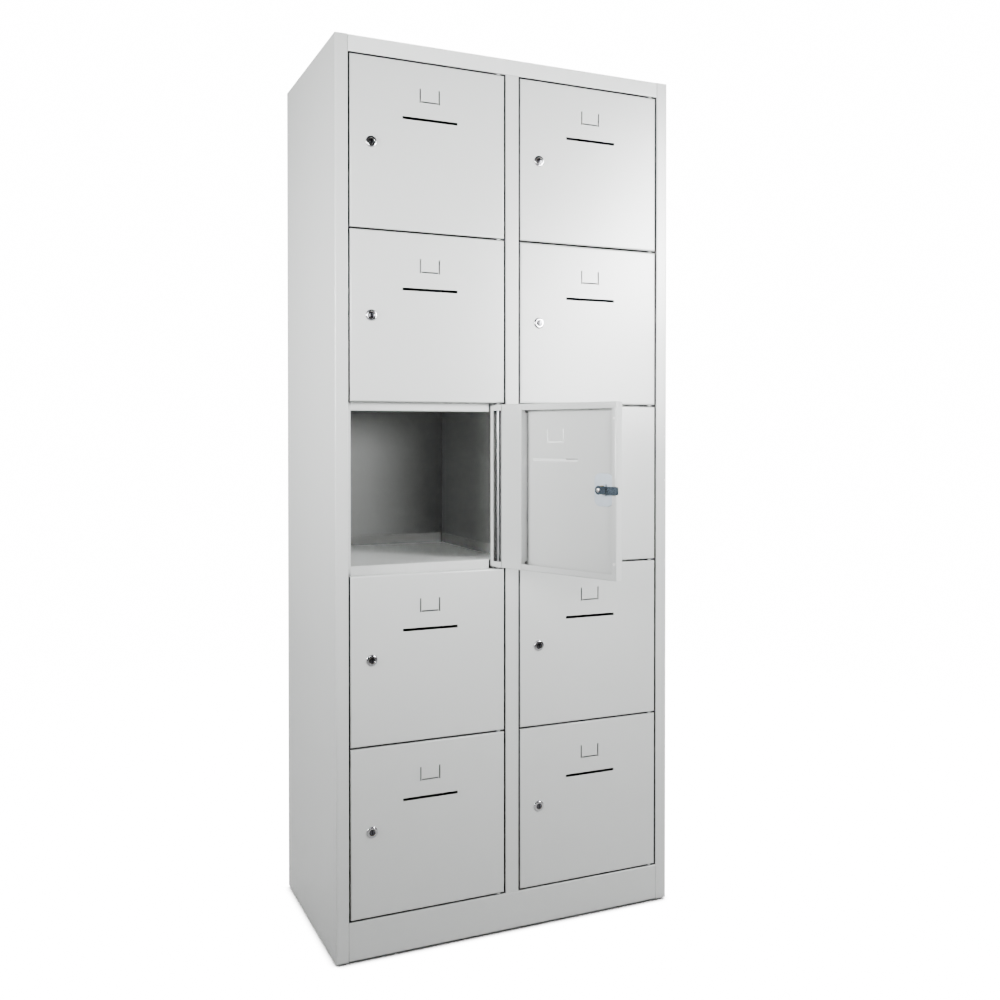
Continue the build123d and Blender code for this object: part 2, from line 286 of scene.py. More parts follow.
finishes = {
    "paint": powderCoat(),
    # Painted shade: the next two finishes are darkened copies of the powder coat for the inside of the box.
    "paintedShadeWalls": paintedShadeCoat("paintedShadeWallCoat", shadedPowder["wallShare"]),
    "paintedShadeFloors": paintedShadeCoat("paintedShadeFloorCoat", shadedPowder["floorShare"]),
    "chrome": metal("polishedChrome", (0.80, 0.80, 0.81), (0.70, 0.70, 0.72), 0.08, 0.20, 500.0, 0.03),
    "brass": metal("lockBrass", (0.80, 0.60, 0.30), (0.62, 0.44, 0.20), 0.22, 0.38, 700.0, 0.08),
    "zinc": metal("paleZinc", (0.58, 0.64, 0.71), (0.49, 0.55, 0.61), 0.30, 0.48, 420.0, 0.08),
    "plugSteel": metal("darkPlugSteel", (0.16, 0.16, 0.17), (0.09, 0.09, 0.10), 0.12, 0.24, 500.0, 0.05),
    "blueZinc": metal("blueZincCam", (0.115, 0.150, 0.185), (0.065, 0.090, 0.115), 0.20, 0.34, 420.0, 0.10),
    "steel": metal("drawnSteel", (0.66, 0.67, 0.68), (0.52, 0.53, 0.54), 0.22, 0.38, 600.0, 0.06),
    "rubber": softPlastic("whiteRubber", (0.97, 0.97, 0.96), (0.93, 0.93, 0.92)),
    "keyway": keywayShadow(),
}
print("finishes made:", len(finishes))

# Sheet metal from a folded centre line

fold = {"sheet": 0.001, "radius": 0.0014, "steps": 4, "hold": 0.0012, "holdShare": 0.3}


def unit(vector):
    return vector / vector.length if vector.length else vector


def foldLine(points, sheet=None, radius=None):
    # Rounded corners on a flat path: each entry is a point with the sheet's left-hand normal.
    sheet = sheet or fold["sheet"]
    radius = radius or fold["radius"]
    path = [Vector(point) for point in points]
    line = []

    def add(point, normal):
        if not line or (line[-1][0] - point).length > 1e-7:
            line.append((point, normal))

    for index, corner in enumerate(path):
        if index == 0 or index == len(path) - 1:
            along = unit(path[1] - path[0]) if index == 0 else unit(path[-1] - path[-2])
            add(corner, Vector((-along.y, along.x)))
            continue
        before, after = unit(corner - path[index - 1]), unit(path[index + 1] - corner)
        turn = math.atan2(before.x * after.y - before.y * after.x, before.dot(after))
        reach = radius * math.tan(abs(turn) / 2)
        firstNormal = Vector((-before.y, before.x))
        hold = min(fold["hold"], fold["holdShare"] * (corner - path[index - 1]).length)
        start = corner - before * reach
        side = 1 if turn > 0 else -1
        centre = start + firstNormal * radius * side
        add(start - before * hold, firstNormal)
        for step in range(fold["steps"] + 1):
            angle = turn * step / fold["steps"]
            normal = Matrix.Rotation(angle, 2) @ firstNormal
            add(centre - normal * radius * side, normal)
        hold = min(fold["hold"], fold["holdShare"] * (path[index + 1] - corner).length)
        add(corner + after * (reach + hold), Vector((-after.y, after.x)))
    return line, sheet / 2


def extrudeFold(mesh, points, place, start, end, sheet=None, radius=None):
    # place(u, v, w) turns a section point and a run along it into the row frame.
    line, half = foldLine(points, sheet, radius)
    rows = []
    for run in (start, end):
        near = [mesh.verts.new(place(*(point + normal * half), run)) for point, normal in line]
        far = [mesh.verts.new(place(*(point - normal * half), run)) for point, normal in line]
        rows.append((near, far))
    (near0, far0), (near1, far1) = rows
    for index in range(len(line) - 1):
        following = index + 1
        mesh.faces.new((near0[index], near0[following], near1[following], near1[index]))
        mesh.faces.new((far0[index], far1[index], far1[following], far0[following]))
        mesh.faces.new((near0[index], far0[index], far0[following], near0[following]))
        mesh.faces.new((near1[index], near1[following], far1[following], far1[index]))
    for index in (0, -1):
        mesh.faces.new((near0[index], near1[index], far1[index], far0[index]))


def slab(mesh, x, y, z):
    corners = [mesh.verts.new((x[i], y[j], z[k])) for i in (0, 1) for j in (0, 1) for k in (0, 1)]
    for face in ((0, 1, 3, 2), (4, 6, 7, 5), (0, 4, 5, 1), (2, 3, 7, 6), (0, 2, 6, 4), (1, 5, 7, 3)):
        mesh.faces.new([corners[index] for index in face])


def lathe(mesh, outline, centre, steps=48):
    # outline is (radius, depth along +Y) from one end of the axis to the other, closed at both ends.
    rings = []
    for radius, depth in outline:
        if radius < 1e-7:
            rings.append([mesh.verts.new((centre[0], centre[1] + depth, centre[2]))])
            continue
        ring = []
        for step in range(steps):
            angle = 2 * math.pi * step / steps
            ring.append(mesh.verts.new((centre[0] + radius * math.cos(angle), centre[1] + depth,
                                        centre[2] + radius * math.sin(angle))))
        rings.append(ring)
    for first, second in zip(rings, rings[1:]):
        for step in range(steps):
            after = (step + 1) % steps
            if len(first) == 1:
                mesh.faces.new((first[0], second[after], second[step]))
            elif len(second) == 1:
                mesh.faces.new((first[step], first[after], second[0]))
            else:
                mesh.faces.new((first[step], first[after], second[after], second[step]))
    return rings


def closeLathe(mesh, outline, centre, steps=48):
    # A ring-shaped body: the outline is a closed loop that never meets the axis.
    rings = lathe(mesh, outline, centre, steps)
    for step in range(steps):
        after = (step + 1) % steps
        mesh.faces.new((rings[-1][step], rings[-1][after], rings[0][after], rings[0][step]))


def smoothBends(data, limit=32.0):
    data.polygons.foreach_set("use_smooth", [True] * len(data.polygons))
    data.set_sharp_from_angle(angle=math.radians(limit))
    data.update()


def finishMesh(mesh, name, *materials):
    bmesh.ops.recalc_face_normals(mesh, faces=mesh.faces)
    data = bpy.data.meshes.new(name)
    mesh.to_mesh(data)
    mesh.free()
    for material in materials:
        data.materials.append(material)
    smoothBends(data)
    return data


def addPiece(data, name, body, replaces=()):
    piece = bpy.data.objects.new(name, data)
    bpy.context.scene.collection.objects.link(piece)
    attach(piece, body)
    if replaces:
        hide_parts(*replaces)
    return piece


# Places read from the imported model

columns = ("left", "right")
rowNumbers = (1, 2, 3, 4, 5)
openDoor = ("left", 3)
joints = {joint["name"]: joint for joint in frame["joints"]}
leftLow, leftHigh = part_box("left_side_panel")
rightLow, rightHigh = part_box("right_side_panel")
frontY, backY = leftLow.y, leftHigh.y
bottomZ, topZ = leftLow.z, leftHigh.z
leftX, rightX = leftLow.x, rightHigh.x
postLow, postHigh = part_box("centre_post")
plinthTop, railBottom = postLow.z, postHigh.z
sheet = fold["sheet"]
postWidth = rightHigh.x - rightLow.x
stopPlane = 0.0215
stopReach = 0.0105
hingeAxis = {column: Vector(joints[f"{column}_1_door_hinge"]["pos_m"]) for column in columns}


def doorCorner(column, row):
    closedRow = 1 if (column, row) == openDoor else row
    return Vector((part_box(f"{column}_{closedRow}_door")[0].x, frontY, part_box(f"{column}_{row}_door")[0].z))


def doorPlace(column, row):
    # Where a piece made at a door's own corner goes. The stored-open door is swung about its hinge.
    corner = Matrix.Translation(doorCorner(column, row))
    hinge = joints[f"{column}_{row}_door_hinge"]
    turned = Matrix.Rotation(math.radians(-hinge["range_deg"][0]), 4, "Z")
    pivot = Vector(hinge["pos_m"])
    return Matrix.Translation(pivot) @ turned @ Matrix.Translation(-pivot) @ corner


def alongZ(u, v, w):
    return (u, v, w)


def alongX(u, v, w):
    return (w, u, v)


# Cabinet body

cabinet = {"backFold": 0.014, "seam": 0.0001, "tuck": 0.0012, "plinthPlay": 0.0002}


def sidePanelMesh(name, outer, inward, stop):
    half = sheet / 2
    points = [(outer + inward * cabinet["backFold"], backY - half), (outer + inward * half, backY - half),
              (outer + inward * half, frontY + half), (outer + inward * (postWidth - half), frontY + half),
              (outer + inward * (postWidth - half), frontY + stopPlane + (half if stop else 0))]
    if stop:
        points.append((outer + inward * (postWidth + stopReach), frontY + stopPlane + half))
    mesh = bmesh.new()
    extrudeFold(mesh, points, alongZ, bottomZ, topZ)
    return finishMesh(mesh, name, finishes["paint"])


def topPanelMesh():
    half = sheet / 2
    railStart, railEnd = leftX + postWidth + cabinet["seam"], rightX - postWidth - cabinet["seam"]
    deck = [(backY - half, topZ - cabinet["backFold"]), (backY - half, topZ - half)]
    flat = deck + [(frontY + sheet, topZ - half)]
    railed = deck + [(frontY + half, topZ - half), (frontY + half, railBottom + half),
                     (frontY + stopPlane, railBottom + half)]
    mesh = bmesh.new()
    extrudeFold(mesh, flat, alongX, leftX + cabinet["tuck"], railStart)
    extrudeFold(mesh, railed, alongX, railStart, railEnd)
    extrudeFold(mesh, flat, alongX, railEnd, rightX - cabinet["tuck"])
    for column in columns:
        start, end = lipSpan(column)
        lip = (railBottom - doorGap / 2 - shelfFloor["lip"], railBottom + sheet)
        slab(mesh, (start, end), (frontY + stopPlane, frontY + stopPlane + sheet), lip)
    return finishMesh(mesh, "topPanel", finishes["paint"])


def baseTrayMesh():
    half = sheet / 2
    railStart, railEnd = leftX + postWidth + cabinet["seam"], rightX - postWidth - cabinet["seam"]
    tray = [(backY - half, bottomZ + cabinet["backFold"]), (backY - half, bottomZ + half)]
    flat = tray + [(frontY + sheet, bottomZ + half)]
    faced = tray + [(frontY + half, bottomZ + half), (frontY + half, plinthTop - half),
                    (frontY + stopPlane - cabinet["plinthPlay"], plinthTop - half)]
    mesh = bmesh.new()
    extrudeFold(mesh, flat, alongX, leftX + cabinet["tuck"], railStart)
    extrudeFold(mesh, faced, alongX, railStart, railEnd)
    extrudeFold(mesh, flat, alongX, railEnd, rightX - cabinet["tuck"])
    return finishMesh(mesh, "baseTray", finishes["paint"])


def centrePostMesh():
    half = sheet / 2
    edge = -postLow.x
    points = [(-edge + half, frontY + stopPlane), (-edge + half, frontY + half), (edge - half, frontY + half),
              (edge - half, frontY + stopPlane + half), (edge + stopReach, frontY + stopPlane + half)]
    mesh = bmesh.new()
    extrudeFold(mesh, points, alongZ, plinthTop, railBottom)
    return finishMesh(mesh, "centrePost", finishes["paint"])


def partitionMesh():
    low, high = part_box("centre_partition")
    points = [(high.x, frontY + 1.5 * sheet), (0, frontY + 1.5 * sheet), (0, high.y)]
    mesh = bmesh.new()
    extrudeFold(mesh, points, alongZ, low.z, high.z)
    # Painted shade: the partition wears the inside coat darkened towards the back.
    return finishMesh(mesh, "centrePartition", finishes["paintedShadeWalls"])


shelfFloor = {"lip": 0.017, "hem": 0.0145, "upturn": 0.024, "relief": 0.0295, "reliefDepth": 0.0285,
              "play": 0.0003, "wall": 0.0013, "behind": 0.0025, "corner": 0.004}
doorGap = 0.0035
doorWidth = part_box("left_1_door")[1].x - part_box("left_1_door")[0].x
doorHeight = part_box("left_1_door")[1].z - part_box("left_1_door")[0].z


def lipSpan(column):
    start = doorCorner(column, 1).x
    end = start + doorWidth + doorGap / 2 - shelfFloor["relief"]
    return (start - doorGap + stopReach + shelfFloor["play"], end)


def shelfMesh(column):
    # One compartment floor at row frame height zero, to be repeated up the column.
    half = sheet / 2
    wall, middle, corner = shelfFloor["wall"], half + shelfFloor["play"], shelfFloor["corner"]
    near, far = frontY + stopPlane, backY - shelfFloor["behind"]
    x = (leftX + wall, -middle) if column == "left" else (middle, rightX - wall)
    lip = lipSpan(column)
    top = shelfFloor["lip"]
    raised = top - sheet + shelfFloor["upturn"]
    section = [(near + shelfFloor["hem"], -top + half), (near + half, -top + half), (near + half, top - half),
               (far - half, top - half), (far - half, raised)]
    mesh = bmesh.new()
    extrudeFold(mesh, section, alongX, lip[0], lip[1])
    outer = [(near + 1.5 * sheet, top - half), (far - half, top - half), (far - half, raised)]
    extrudeFold(mesh, outer, alongX, x[0] + corner, lip[0])
    relieved = [(frontY + shelfFloor["reliefDepth"], top - half)] + outer[1:]
    extrudeFold(mesh, relieved, alongX, lip[1], x[1] - corner)

    def alongY(u, v, w):
        return (u, w, v)

    for edge, inward, begin in ((x[0], 1, near + corner), (x[1], -1, frontY + shelfFloor["reliefDepth"])):
        turnedUp = [(edge + inward * corner, top - half), (edge + inward * half, top - half),
                    (edge + inward * half, raised)]
        extrudeFold(mesh, turnedUp, alongY, begin, far - sheet)
    # Painted shade: the floor wears the inside coat darkened towards the back.
    return finishMesh(mesh, f"{column}Floor", finishes["paintedShadeFloors"])


# Geometry nodes: one mesh repeated along a line


def repeatTree(name, material):
    tree = bpy.data.node_groups.new(name, "GeometryNodeTree")
    face = tree.interface
    face.new_socket("Geometry", in_out="INPUT", socket_type="NodeSocketGeometry")
    sockets = {"Count": "NodeSocketInt", "Start": "NodeSocketVector", "Step": "NodeSocketVector"}
    for label, kind in sockets.items():
        face.new_socket(label, in_out="INPUT", socket_type=kind)
    face.new_socket("Geometry", in_out="OUTPUT", socket_type="NodeSocketGeometry")
    entry, leave = tree.nodes.new("NodeGroupInput"), tree.nodes.new("NodeGroupOutput")
    line = tree.nodes.new("GeometryNodeMeshLine")
    line.mode = "OFFSET"
    copies = tree.nodes.new("GeometryNodeInstanceOnPoints")
    real = tree.nodes.new("GeometryNodeRealizeInstances")
    coat = tree.nodes.new("GeometryNodeSetMaterial")
    coat.inputs["Material"].default_value = material
    link = tree.links.new
    link(entry.outputs["Count"], line.inputs["Count"])
    link(entry.outputs["Start"], line.inputs["Start Location"])
    link(entry.outputs["Step"], line.inputs["Offset"])
    link(line.outputs["Mesh"], copies.inputs["Points"])
    link(entry.outputs["Geometry"], copies.inputs["Instance"])
    link(copies.outputs["Instances"], real.inputs["Geometry"])
    link(real.outputs["Geometry"], coat.inputs["Geometry"])
    link(coat.outputs["Geometry"], leave.inputs["Geometry"])
    return tree


def repeatMesh(data, name, material, count, start, step):
    tree = repeatTree(name + "Tree", material)
    holder = bpy.data.objects.new(name + "Source", data)
    bpy.context.scene.collection.objects.link(holder)
    modifier = holder.modifiers.new("repeat", "NODES")
    modifier.node_group = tree
    values = {"Count": count, "Start": start, "Step": step}
    for item in tree.interface.items_tree:
        if item.in_out == "INPUT" and item.name in values:
            modifier[item.identifier] = values[item.name]
    bpy.context.view_layer.update()
    graph = bpy.context.evaluated_depsgraph_get()
    result = bpy.data.meshes.new_from_object(holder.evaluated_get(graph))
    holder.modifiers.remove(modifier)
    bpy.data.objects.remove(holder)
    result.name = name
    smoothBends(result)
    return result


def joined(name, datas):
    mesh = bmesh.new()
    for data in datas:
        mesh.from_mesh(data)
    made = bpy.data.meshes.new(name)
    mesh.to_mesh(made)
    mesh.free()
    for material in datas[0].materials:
        made.materials.append(material)
    smoothBends(made)
    return made


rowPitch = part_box("left_1_door")[0].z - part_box("left_2_door")[0].z
firstGap = plinthTop + doorGap / 2


def shelvesMesh():
    parts = []
    for column in columns:
        # Painted shade: the repeated floors keep the darkened floor coat.
        parts.append(repeatMesh(shelfMesh(column), f"{column}Floors", finishes["paintedShadeFloors"], len(rowNumbers),
                                (0, 0, firstGap), (0, 0, rowPitch)))
    return joined("compartmentFloors", parts)


hingeHardware = {"thickness": 0.002, "radius": 0.0055, "rod": 0.0025, "rodEdge": 0.0006, "back": 0.034,
                 "arm": 0.023, "steps": 12}


def hingePlateMesh(column):
    axis = hingeAxis[column]
    radius, half = hingeHardware["radius"], hingeHardware["thickness"] / 2
    wall = -sheet / 2 if column == "left" else rightX - sheet
    steps = hingeHardware["steps"]
    outline = []
    for step in range(steps + 1):
        angle = math.pi + math.pi * step / steps
        outline.append((axis.x + radius * math.cos(angle), axis.y + radius * math.sin(angle)))
    arm, back = frontY + hingeHardware["arm"], frontY + hingeHardware["back"]
    outline += [(axis.x + radius, arm), (wall, arm), (wall, back), (axis.x - radius, back)]
    mesh = bmesh.new()
    for z in (-half, half):
        mesh.faces.new([mesh.verts.new((x, y, z)) for x, y in outline])
    mesh.faces.ensure_lookup_table()
    low, high = (list(face.verts) for face in mesh.faces)
    for index in range(len(outline)):
        after = (index + 1) % len(outline)
        mesh.faces.new((low[index], low[after], high[after], high[index]))
    return finishMesh(mesh, f"{column}Plate", finishes["paint"])


def hingeRodMesh():
    low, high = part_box("hinge_fittings")
    mesh = bmesh.new()
    for column in columns:
        axis = hingeAxis[column]
        radius, edge = hingeHardware["rod"], hingeHardware["rodEdge"]
        outline = [(0, low.z), (radius - edge, low.z), (radius, low.z + edge),
                   (radius, high.z - edge), (radius - edge, high.z), (0, high.z)]
        before = set(mesh.verts)
        lathe(mesh, outline, (0, 0, 0), 24)
        made = [vert for vert in mesh.verts if vert not in before]
        for vert in made:
            vert.co = (axis.x + vert.co.x, axis.y + vert.co.z, vert.co.y)
    return finishMesh(mesh, "hingeRods", finishes["steel"])


feet = {"pad": 0.0175, "padTop": 0.005, "edge": 0.0015, "stud": 0.005, "studTop": 0.040, "studEnd": 0.004,
        "turns": 20, "threadDepth": 0.0006, "threadEnds": 0.0005, "crest": 0.0008, "nut": 0.009,
        "nutHeight": 0.008, "inset": 0.045}


def footMesh():
    mesh = bmesh.new()
    pad = [(0, 0), (feet["pad"], 0), (feet["pad"], feet["padTop"] - feet["edge"]),
           (feet["pad"] - feet["edge"], feet["padTop"]), (feet["stud"], feet["padTop"])]
    stud, start = feet["stud"], feet["padTop"] + feet["threadEnds"]
    pitch = (feet["studTop"] - feet["threadEnds"] - start) / feet["turns"]
    thread = []
    for turn in range(feet["turns"]):
        base = start + turn * pitch
        thread += [(stud - feet["threadDepth"], base), (stud, base + feet["crest"])]
    tip = [(feet["studEnd"], feet["studTop"]), (0, feet["studTop"])]
    lathe(mesh, pad + thread + tip, (0, 0, 0), 32)
    nutLow = bottomZ + sheet
    nutHigh = nutLow + feet["nutHeight"]
    closeLathe(mesh, [(feet["stud"], nutLow), (feet["nut"], nutLow), (feet["nut"], nutHigh),
                      (feet["stud"], nutHigh)], (0, 0, 0), 6)
    for vert in mesh.verts:
        vert.co = (vert.co.x, -vert.co.z, vert.co.y)
    return finishMesh(mesh, "foot", finishes["zinc"])


def feetMesh():
    x = rightX - feet["inset"]
    rows = [repeatMesh(footMesh(), f"feet{index}", finishes["zinc"], 2, (-x, y, 0), (2 * x, 0, 0))
            for index, y in enumerate((frontY + feet["inset"], backY - feet["inset"]))]
    return joined("levellingFeet", rows)


def backPanelMesh():
    low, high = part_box("back_panel")
    mount = next(mount for mount in frame["record"]["mounts"] if mount["name"] == "wall_fixing")
    centre, sizes = Vector(mount["pos_m"]), mount["dims"]
    x, z = sizes["spacing_x_mm"] / 2000, sizes["spacing_y_mm"] / 2000
    radius = sizes["hole_r_mm"] / 1000
    holes = [circle(centre.x + i * x, centre.z + j * z, radius) for i in (-1, 1) for j in (-1, 1)]
    mesh = bmesh.new()
    holedPlate(mesh, rectangle(low.x, high.x, low.z, high.z), holes, low.y, high.y)
    data = finishMesh(mesh, "backPanel", finishes["paint"])
    # Painted shade: the face towards the compartments gets the darkened inside coat, the outer face keeps the
    # plain paint.
    data.materials.append(finishes["paintedShadeWalls"])
    for face in data.polygons:
        face.material_index = 1 if face.normal.y < -0.5 else 0
    return data


# Flat sheets with holes, in the X-Z plane


def rectangle(x0, x1, z0, z1):
    return [(x0, z0), (x1, z0), (x1, z1), (x0, z1)]


def circle(x, z, radius, steps=32):
    angles = [2 * math.pi * step / steps for step in range(steps)]
    return [(x + radius * math.cos(angle), z + radius * math.sin(angle)) for angle in angles]


def roundedRectangle(x0, x1, z0, z1, radius, steps=5):
    points = []
    corners = ((x1, z1, 0), (x0, z1, 90), (x0, z0, 180), (x1, z0, 270))
    for x, z, angle in corners:
        centreX = x - radius if x == x1 else x + radius
        centreZ = z - radius if z == z1 else z + radius
        for step in range(steps + 1):
            turn = math.radians(angle + 90 * step / steps)
            points.append((centreX + radius * math.cos(turn), centreZ + radius * math.sin(turn)))
    return points


def ringOf(mesh, points, y):
    return [mesh.verts.new((x, y, z)) for x, z in points]


def loopEdges(mesh, ring):
    edges = []
    for index, vert in enumerate(ring):
        following = ring[(index + 1) % len(ring)]
        edges.append(mesh.edges.get((vert, following)) or mesh.edges.new((vert, following)))
    return edges


def fillBetween(mesh, outer, holes):
    edges = loopEdges(mesh, outer)
    for hole in holes:
        edges += loopEdges(mesh, hole)
    bmesh.ops.triangle_fill(mesh, edges=edges, use_beauty=True, use_dissolve=False)


def bridge(mesh, first, second):
    for index in range(len(first)):
        after = (index + 1) % len(first)
        mesh.faces.new((first[index], first[after], second[after], second[index]))


def holedPlate(mesh, outer, holes, near, far):
    sides = []
    for y in (near, far):
        outerRing = ringOf(mesh, outer, y)
        holeRings = [ringOf(mesh, hole, y) for hole in holes]
        fillBetween(mesh, outerRing, holeRings)
        sides.append([outerRing] + holeRings)
    for first, second in zip(*sides):
        bridge(mesh, first, second)


# Door leaf

leaf = {"depth": 0.020, "bend": 0.0028, "flat": 0.012, "endLip": 0.013, "lockLip": 0.011, "hingeLip": 0.010,
        "slotLength": 0.123, "slotHeight": 0.006, "slotX": 0.1744, "slotRise": 0.0575, "slotCorner": 0.0008,
        "lockHole": 0.0092, "lockX": 0.0455, "channelNear": 0.252, "channelFar": 0.311, "seatEnd": 0.02,
        "lockRise": 0.001, "seatPlay": 0.0002, "notchDepth": 0.008, "notchRise": 0.019}
label = {"x": 0.1735, "width": 0.047, "height": 0.0305, "rise": 0.0923, "tab": 0.003, "overlap": 0.001,
         "sheet": 0.0008, "stand": 0.0020, "bend": 0.0006, "between": 0.002, "knee": 0.0008,
         "root": (-0.0010, 0.0004), "foot": (0.0001, 0.0003)}
buffers = {"x": 0.0055, "end": 0.033, "radius": 0.003, "stand": 0.0012, "round": 0.0008, "rooted": 0.002}
lockZ = doorHeight / 2 + leaf["lockRise"]


def panRings(mesh, line, half, side):
    # Each point of the wall's folded section becomes a rectangle. Lips differ from side to side.
    rings = []
    last = len(line) - 1
    for index, (point, normal) in enumerate(line):
        shifted = point + normal * half * side
        insets = [shifted.x] * 4
        if index == last:
            insets = [leaf["lockLip"], leaf["hingeLip"], leaf["endLip"], leaf["endLip"]]
        left, right, low, high = insets
        rings.append(ringOf(mesh, rectangle(left, doorWidth - right, low, doorHeight - high), shifted.y))
    return rings


def labelHoles():
    half = label["width"] / 2
    low = lockZ + label["rise"]
    high = low + label["height"] - label["overlap"]
    tab, skin = label["tab"], label["sheet"]
    holes = []
    for side in (-1, 1):
        outer = label["x"] + side * (half - skin)
        inner = outer - side * tab
        holes.append(rectangle(min(outer, inner), max(outer, inner), low, high))
    reach = half - tab - label["between"]
    holes.append(rectangle(label["x"] - reach, label["x"] + reach, low + skin, low + skin + tab))
    return holes


def leafMesh():
    depth = leaf["depth"]
    half = sheet / 2
    path = [(leaf["flat"], half), (half, half), (half, depth - half), (leaf["hingeLip"], depth - half)]
    line, thickness = foldLine(path, sheet, leaf["bend"])
    mesh = bmesh.new()
    outer = panRings(mesh, line, thickness, 1)
    inner = panRings(mesh, line, thickness, -1)
    for rings in (outer, inner):
        for first, second in zip(rings, rings[1:]):
            bridge(mesh, first, second)
    bridge(mesh, outer[-1], inner[-1])
    slotX, slotZ = leaf["slotX"], lockZ + leaf["slotRise"]
    long, tall = leaf["slotLength"] / 2, leaf["slotHeight"] / 2
    slot = roundedRectangle(slotX - long, slotX + long, slotZ - tall, slotZ + tall, leaf["slotCorner"], 3)
    holes = [slot, circle(leaf["lockX"], lockZ, leaf["lockHole"], 48)] + labelHoles()
    faces = []
    for ring in (outer[0], inner[0]):
        y = ring[0].co.y
        holeRings = [ringOf(mesh, hole, y) for hole in holes]
        fillBetween(mesh, ring, holeRings)
        faces.append(holeRings)
    for first, second in zip(*faces):
        bridge(mesh, first, second)
    addLabelTabs(mesh)
    data = finishMesh(mesh, "doorLeaf", finishes["paint"])
    # The end lips stop short of the channel, which stands in their place.
    width = (leaf["channelNear"] - leaf["seatPlay"], leaf["channelFar"] + leaf["seatPlay"])
    ends = ((2 * sheet, leaf["seatEnd"]), (doorHeight - leaf["seatEnd"], doorHeight - 2 * sheet))
    return carve(data, [(width, (depth - 1.2 * sheet, 1.5 * depth), end) for end in ends])


def addLabelTabs(mesh):
    half = label["width"] / 2
    low = lockZ + label["rise"]
    high = low + label["height"]
    skin, bend = label["sheet"], label["bend"]
    over = label["tab"] + label["overlap"]
    raised = -label["stand"] + skin / 2
    rise = [label["root"], label["foot"], (over - label["knee"], raised), (over, raised)]
    for side in (-1, 1):
        outer = label["x"] + side * half

        def upright(u, v, w, outer=outer, side=side):
            return (outer - side * u, v, w)

        extrudeFold(mesh, rise, upright, low, high, sheet=skin, radius=bend)

    def level(u, v, w):
        return (w, v, low + u)

    reach = half - label["tab"] - label["between"]
    extrudeFold(mesh, rise, level, label["x"] - reach, label["x"] + reach, sheet=skin, radius=bend)


def carve(data, boxes):
    # Cuts boxes out of a closed mesh.
    target = bpy.data.objects.new("carveTarget", data)
    bpy.context.scene.collection.objects.link(target)
    tools = []
    for x, y, z in boxes:
        mesh = bmesh.new()
        slab(mesh, x, y, z)
        tool = bpy.data.objects.new("carveTool", finishMesh(mesh, "carveTool"))
        bpy.context.scene.collection.objects.link(tool)
        modifier = target.modifiers.new("cut", "BOOLEAN")
        modifier.operation = "DIFFERENCE"
        modifier.solver = "EXACT"
        modifier.object = tool
        tools.append(tool)
    bpy.context.view_layer.update()
    graph = bpy.context.evaluated_depsgraph_get()
    result = bpy.data.meshes.new_from_object(target.evaluated_get(graph))
    for item in [target] + tools:
        bpy.data.objects.remove(item)
    smoothBends(result)
    return result


def channelMesh():
    near, far, depth = leaf["channelNear"], leaf["channelFar"], leaf["depth"]
    half = sheet / 2
    points = [(near + half, sheet), (near + half, depth - half),
              (far - half, depth - half), (far - half, sheet)]
    mesh = bmesh.new()
    extrudeFold(mesh, points, alongZ, 1.1 * sheet, doorHeight - 1.1 * sheet)
    data = finishMesh(mesh, "doorChannel", finishes["paint"])
    rise = leaf["notchRise"]
    notches = [((near - sheet, far + sheet), (0, leaf["notchDepth"]), z)
               for z in ((0, rise), (doorHeight - rise, doorHeight))]
    return carve(data, notches)


def bufferMesh():
    radius, stand, depth = buffers["radius"], buffers["stand"], leaf["depth"]
    rooted, edge = depth - buffers["rooted"], buffers["round"]
    outline = [(0, rooted), (radius / 2, rooted), (radius / 2, depth), (radius, depth),
               (radius, depth + stand / 2)]
    for step in range(1, 4):
        angle = math.pi / 2 * step / 3
        height = stand * (1 + math.sin(angle)) / 2
        outline.append((radius - edge + edge * math.cos(angle), depth + height))
    outline.append((0, depth + stand))
    mesh = bmesh.new()
    for z in (buffers["end"], doorHeight - buffers["end"]):
        lathe(mesh, outline, (buffers["x"], 0, z), 24)
    return finishMesh(mesh, "doorBuffers", finishes["rubber"])


# Cam lock

lock = {"head": 0.012, "headHeight": 0.003, "headRound": 0.0030, "headCrown": 0.0022, "boreEdge": 0.0004,
        "barrel": 0.009, "barrelEnd": 0.0165, "barrelTip": 0.0084, "threadDepth": 0.0005,
        "threadRunout": 0.0015, "turns": 11, "plug": 0.0065, "clearance": 0.00006, "nut": 0.013,
        "nutHeight": 0.004}
lockPlate = {"halfWidth": 0.023, "halfHeight": 0.033, "corner": 0.014, "play": 0.0001}
plug = {"sunk": 0.0005, "dome": 0.0004, "edge": 0.0006, "keyWidth": 0.0014, "keyHeight": 0.009,
        "keyDepth": 0.004, "cut": 0.01, "darkFrom": 0.0002, "darkPast": 0.0005}
cam = {"start": 0.017, "sheet": 0.002, "hub": 0.009, "reach": 0.053, "width": 0.016, "corner": 0.003,
       "offset": 0.0065, "bendStart": 0.017, "bendEnd": 0.026, "hubEnd": 0.0045, "narrowest": 0.0006,
       "upper": (0.004, 0.008, 0.012, 0.0155), "lower": (0.0275, 0.034, 0.042)}
camScrew = {"radius": 0.0045, "rooted": 0.0005, "side": 0.0018, "crown": 0.0014, "slotWidth": 0.0012,
            "slotLength": 0.012, "slotFloor": 0.002, "cut": 0.01}


